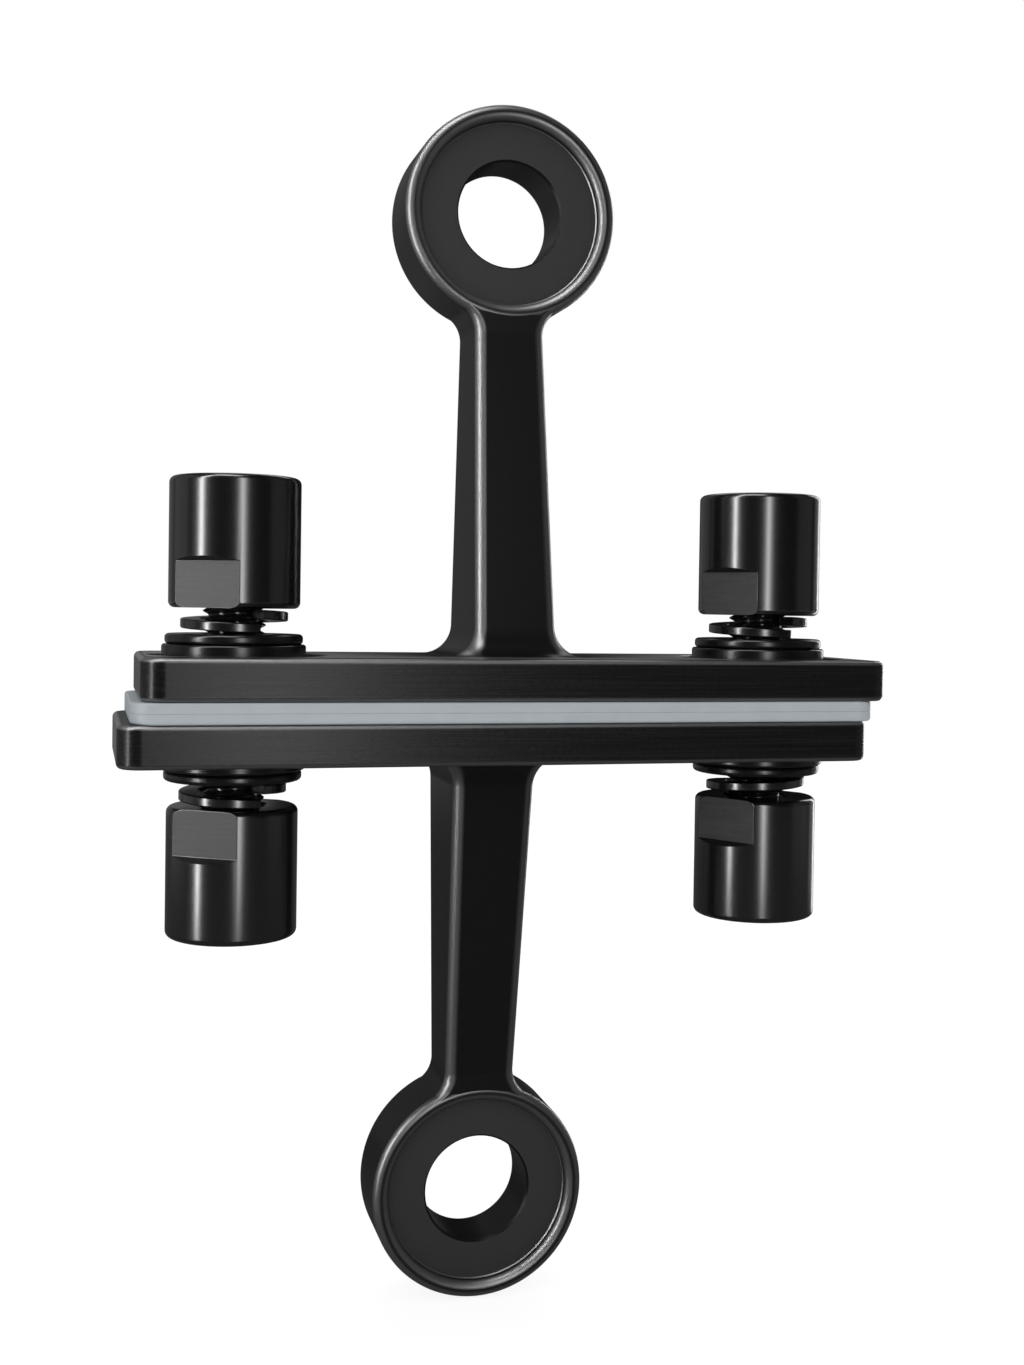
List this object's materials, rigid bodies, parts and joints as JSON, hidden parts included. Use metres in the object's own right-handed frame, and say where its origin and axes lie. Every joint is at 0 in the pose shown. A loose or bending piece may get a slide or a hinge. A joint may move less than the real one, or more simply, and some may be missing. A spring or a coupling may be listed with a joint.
{
  "type": "glass spider fitting",
  "caption": "Black two-way glass spider fitting: two slotted clamp plates with tapered arms and ring eyes, clamped over gaskets by studs with cap nuts.",
  "frame": {"origin": "the middle of the fitting, midway between the two clamp plates, on the studs' plane", "axes": "+Z along the studs and up the upper arm, +X along the clamp plates, +Y towards the side of the plates where the arms and eyes stand"},
  "size_m": [0.151, 0.042, 0.244],
  "materials": {
    "casting_black": "satin",
    "nut_black": "gloss",
    "washer_black": "gloss",
    "spring_black": "gloss",
    "thread_black": "gloss",
    "gasket_blue": "matte"
  },
  "bodies": {
    "fitting": {"upper_bracket": "casting_black", "lower_bracket": "casting_black", "upper_gasket": "gasket_blue", "lower_gasket": "gasket_blue", "left_stud": "thread_black", "right_stud": "thread_black", "upper_left_slot_disc": "washer_black", "upper_left_flat_washer": "washer_black", "upper_right_slot_disc": "washer_black", "upper_right_flat_washer": "washer_black", "lower_left_slot_disc": "washer_black", "lower_left_flat_washer": "washer_black", "lower_right_slot_disc": "washer_black", "lower_right_flat_washer": "washer_black"},
    "upper_left_spring_washer": {"upper_left_spring_washer": "spring_black"},
    "upper_left_cap_nut": {"upper_left_cap_nut": "nut_black"},
    "upper_right_spring_washer": {"upper_right_spring_washer": "spring_black"},
    "upper_right_cap_nut": {"upper_right_cap_nut": "nut_black"},
    "lower_left_spring_washer": {"lower_left_spring_washer": "spring_black"},
    "lower_left_cap_nut": {"lower_left_cap_nut": "nut_black"},
    "lower_right_spring_washer": {"lower_right_spring_washer": "spring_black"},
    "lower_right_cap_nut": {"lower_right_cap_nut": "nut_black"}
  },
  "joints": [
    {"name": "upper_left_nut_advance", "type": "slide", "parent": "fitting", "child": "upper_left_spring_washer", "axis": [0, 0, 1], "range_m": [-0.00263, 0], "deforming": ["upper_left_spring_washer"]},
    {"name": "upper_left_nut_turn", "type": "hinge", "parent": "upper_left_spring_washer", "child": "upper_left_cap_nut", "pos_m": [-0.0533, 0, 0.0189], "axis": [0, 0, 1], "range_deg": [-540, 0]},
    {"name": "upper_right_nut_advance", "type": "slide", "parent": "fitting", "child": "upper_right_spring_washer", "axis": [0, 0, 1], "range_m": [-0.00263, 0], "deforming": ["upper_right_spring_washer"]},
    {"name": "upper_right_nut_turn", "type": "hinge", "parent": "upper_right_spring_washer", "child": "upper_right_cap_nut", "pos_m": [0.0557, 0, 0.0189], "axis": [0, 0, 1], "range_deg": [-540, 0]},
    {"name": "lower_left_nut_advance", "type": "slide", "parent": "fitting", "child": "lower_left_spring_washer", "axis": [0, 0, -1], "range_m": [-0.00263, 0], "deforming": ["lower_left_spring_washer"]},
    {"name": "lower_left_nut_turn", "type": "hinge", "parent": "lower_left_spring_washer", "child": "lower_left_cap_nut", "pos_m": [-0.0533, 0, -0.0189], "axis": [0, 0, -1], "range_deg": [-540, 0]},
    {"name": "lower_right_nut_advance", "type": "slide", "parent": "fitting", "child": "lower_right_spring_washer", "axis": [0, 0, -1], "range_m": [-0.00263, 0], "deforming": ["lower_right_spring_washer"]},
    {"name": "lower_right_nut_turn", "type": "hinge", "parent": "lower_right_spring_washer", "child": "lower_right_cap_nut", "pos_m": [0.0557, 0, -0.0189], "axis": [0, 0, -1], "range_deg": [-540, 0]}
  ],
  "couplings": [
    {"joint": "upper_left_nut_turn", "follows": "upper_left_nut_advance", "rad_per_m": 3590.4},
    {"joint": "upper_right_nut_turn", "follows": "upper_right_nut_advance", "rad_per_m": 3590.4},
    {"joint": "lower_left_nut_turn", "follows": "lower_left_nut_advance", "rad_per_m": 3590.4},
    {"joint": "lower_right_nut_turn", "follows": "lower_right_nut_advance", "rad_per_m": 3590.4}
  ]
}
